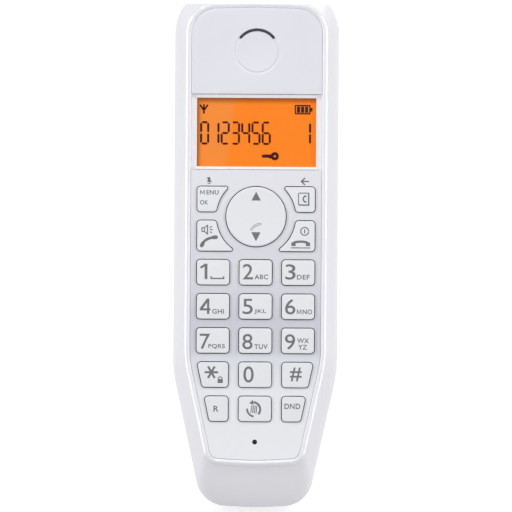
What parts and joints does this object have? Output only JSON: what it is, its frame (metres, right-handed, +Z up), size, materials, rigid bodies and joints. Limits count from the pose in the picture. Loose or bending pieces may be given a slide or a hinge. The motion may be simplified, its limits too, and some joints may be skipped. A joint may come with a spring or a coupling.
{
  "type": "cordless phone with charging base",
  "caption": "Slim tapered cordless phone handset with keypad, round rocker key and amber display, leaning on a wedge-shaped charging base with spring contacts.",
  "frame": {"origin": "centre of the footprint, on the desk under the rubber feet", "axes": "+Z up, -Y is the side of the handset's keypad and display, +X to the right of someone who faces them"},
  "size_m": [0.0502, 0.0994, 0.147],
  "materials": {
    "body_white": "smooth glossy white moulding",
    "panel_white": "satin pearl white",
    "key_white": "satin white key caps",
    "clear_lens": "clear moulded lens",
    "amber_screen": "back-lit amber liquid crystal",
    "light_guide": "diffuse light guide",
    "board_green": "solder mask",
    "steel": "tinned sheet",
    "screw_steel": "bright zinc",
    "spring_steel": "nickel plated",
    "cell_wrap": "printed wrap over a metal can",
    "gold": "gold plated contact",
    "soft_rubber": "silicone",
    "foot_rubber": "matt black rubber",
    "dark_plastic": "moulded black"
  },
  "bodies": {
    "base": {"base_shell": "body_white", "base_plate": "body_white", "base_feet": "foot_rubber", "base_board": "board_green", "base_weight": "steel", "base_screws": "screw_steel", "line_socket": "dark_plastic", "power_inlet": "dark_plastic"},
    "handset": {"front_housing": "body_white", "rear_housing": "body_white", "earpiece_cover": "panel_white", "display_lens": "clear_lens", "display_mask": "panel_white", "lcd_glass": "amber_screen", "lcd_backlight": "light_guide", "keypad_plate": "panel_white", "keypad_mat": "soft_rubber", "main_board": "board_green", "rf_shield": "steel", "antenna": "steel", "earpiece_speaker": "dark_plastic", "ringer_speaker": "dark_plastic", "microphone": "steel", "mic_boot": "soft_rubber", "battery_left": "cell_wrap", "battery_right": "cell_wrap", "battery_springs": "spring_steel", "battery_plates": "spring_steel", "charge_pads": "gold", "housing_screws": "screw_steel"},
    "door": {"battery_door": "body_white"},
    "nav_key": {"key_nav": "key_white"},
    "page_button": {"page_key": "key_white"},
    "pin_left": {"charge_pin_left": "gold"},
    "pin_right": {"charge_pin_right": "gold"},
    "press_1": {"key_1": "key_white"},
    "press_2": {"key_2": "key_white"},
    "press_3": {"key_3": "key_white"},
    "press_4": {"key_4": "key_white"},
    "press_5": {"key_5": "key_white"},
    "press_6": {"key_6": "key_white"},
    "press_7": {"key_7": "key_white"},
    "press_8": {"key_8": "key_white"},
    "press_9": {"key_9": "key_white"},
    "press_star": {"key_star": "key_white"},
    "press_0": {"key_0": "key_white"},
    "press_hash": {"key_hash": "key_white"},
    "press_recall": {"key_recall": "key_white"},
    "press_redial": {"key_redial": "key_white"},
    "press_quiet": {"key_quiet": "key_white"},
    "press_menu": {"key_menu": "key_white"},
    "press_book": {"key_book": "key_white"},
    "press_talk": {"key_talk": "key_white"},
    "press_end": {"key_end": "key_white"}
  },
  "joints": [
    {"name": "handset_lift", "type": "slide", "parent": "base", "child": "handset", "axis": [0, 0.5, 0.866], "range_m": [0, 0.06]},
    {"name": "battery_door_slide", "type": "slide", "parent": "handset", "child": "door", "axis": [0, -0.5, -0.866], "range_m": [0, 0.006]},
    {"name": "nav_rock", "type": "hinge", "parent": "handset", "child": "nav_key", "pos_m": [0, -0.00924, 0.08942], "axis": [1, 0, 0], "range_deg": [-3, 3], "stiffness_Nm_per_rad": 0.02},
    {"name": "page_press", "type": "slide", "parent": "base", "child": "page_button", "axis": [0, -0.5, -0.866], "range_m": [0, 0.0006], "stiffness_N_per_m": 300},
    {"name": "pin_left_spring", "type": "slide", "parent": "base", "child": "pin_left", "axis": [0, -0.5, -0.866], "range_m": [0, 0.00045], "stiffness_N_per_m": 400},
    {"name": "pin_right_spring", "type": "slide", "parent": "base", "child": "pin_right", "axis": [0, -0.5, -0.866], "range_m": [0, 0.00045], "stiffness_N_per_m": 400},
    {"name": "press_key_1", "type": "slide", "parent": "handset", "child": "press_1", "axis": [0, 0.866, -0.5], "range_m": [0, 0.0006], "stiffness_N_per_m": 300},
    {"name": "press_key_2", "type": "slide", "parent": "handset", "child": "press_2", "axis": [0, 0.866, -0.5], "range_m": [0, 0.0006], "stiffness_N_per_m": 300},
    {"name": "press_key_3", "type": "slide", "parent": "handset", "child": "press_3", "axis": [0, 0.866, -0.5], "range_m": [0, 0.0006], "stiffness_N_per_m": 300},
    {"name": "press_key_4", "type": "slide", "parent": "handset", "child": "press_4", "axis": [0, 0.866, -0.5], "range_m": [0, 0.0006], "stiffness_N_per_m": 300},
    {"name": "press_key_5", "type": "slide", "parent": "handset", "child": "press_5", "axis": [0, 0.866, -0.5], "range_m": [0, 0.0006], "stiffness_N_per_m": 300},
    {"name": "press_key_6", "type": "slide", "parent": "handset", "child": "press_6", "axis": [0, 0.866, -0.5], "range_m": [0, 0.0006], "stiffness_N_per_m": 300},
    {"name": "press_key_7", "type": "slide", "parent": "handset", "child": "press_7", "axis": [0, 0.866, -0.5], "range_m": [0, 0.0006], "stiffness_N_per_m": 300},
    {"name": "press_key_8", "type": "slide", "parent": "handset", "child": "press_8", "axis": [0, 0.866, -0.5], "range_m": [0, 0.0006], "stiffness_N_per_m": 300},
    {"name": "press_key_9", "type": "slide", "parent": "handset", "child": "press_9", "axis": [0, 0.866, -0.5], "range_m": [0, 0.0006], "stiffness_N_per_m": 300},
    {"name": "press_key_star", "type": "slide", "parent": "handset", "child": "press_star", "axis": [0, 0.866, -0.5], "range_m": [0, 0.0006], "stiffness_N_per_m": 300},
    {"name": "press_key_0", "type": "slide", "parent": "handset", "child": "press_0", "axis": [0, 0.866, -0.5], "range_m": [0, 0.0006], "stiffness_N_per_m": 300},
    {"name": "press_key_hash", "type": "slide", "parent": "handset", "child": "press_hash", "axis": [0, 0.866, -0.5], "range_m": [0, 0.0006], "stiffness_N_per_m": 300},
    {"name": "press_key_recall", "type": "slide", "parent": "handset", "child": "press_recall", "axis": [0, 0.866, -0.5], "range_m": [0, 0.0006], "stiffness_N_per_m": 300},
    {"name": "press_key_redial", "type": "slide", "parent": "handset", "child": "press_redial", "axis": [0, 0.866, -0.5], "range_m": [0, 0.0006], "stiffness_N_per_m": 300},
    {"name": "press_key_quiet", "type": "slide", "parent": "handset", "child": "press_quiet", "axis": [0, 0.866, -0.5], "range_m": [0, 0.0006], "stiffness_N_per_m": 300},
    {"name": "press_key_menu", "type": "slide", "parent": "handset", "child": "press_menu", "axis": [0, 0.866, -0.5], "range_m": [0, 0.0006], "stiffness_N_per_m": 300},
    {"name": "press_key_book", "type": "slide", "parent": "handset", "child": "press_book", "axis": [0, 0.866, -0.5], "range_m": [0, 0.0006], "stiffness_N_per_m": 300},
    {"name": "press_key_talk", "type": "slide", "parent": "handset", "child": "press_talk", "axis": [0, 0.866, -0.5], "range_m": [0, 0.0006], "stiffness_N_per_m": 300},
    {"name": "press_key_end", "type": "slide", "parent": "handset", "child": "press_end", "axis": [0, 0.866, -0.5], "range_m": [0, 0.0006], "stiffness_N_per_m": 300}
  ]
}
